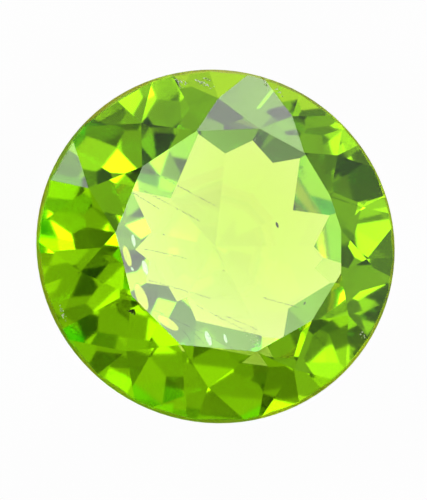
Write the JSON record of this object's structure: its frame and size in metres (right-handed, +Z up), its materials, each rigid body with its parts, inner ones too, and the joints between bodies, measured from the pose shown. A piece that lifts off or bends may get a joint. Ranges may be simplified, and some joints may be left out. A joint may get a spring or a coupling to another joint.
{
  "type": "faceted gemstone",
  "caption": "Round brilliant peridot, yellow-green and see-through, with a wide table, lying on one facet of its pavilion.",
  "frame": {"origin": "centre of the bounding box's base, on the surface that the stone lies on", "axes": "+Z up from that surface; the table faces up and towards -Y; +X to the right as the table is seen"},
  "size_m": [0.009, 0.0074, 0.0058],
  "materials": {
    "peridot_crystal": "polished, clear yellow-green crystal, worn at the girdle's edge"
  },
  "bodies": {
    "root": {"peridot": "peridot_crystal"}
  },
  "joints": []
}
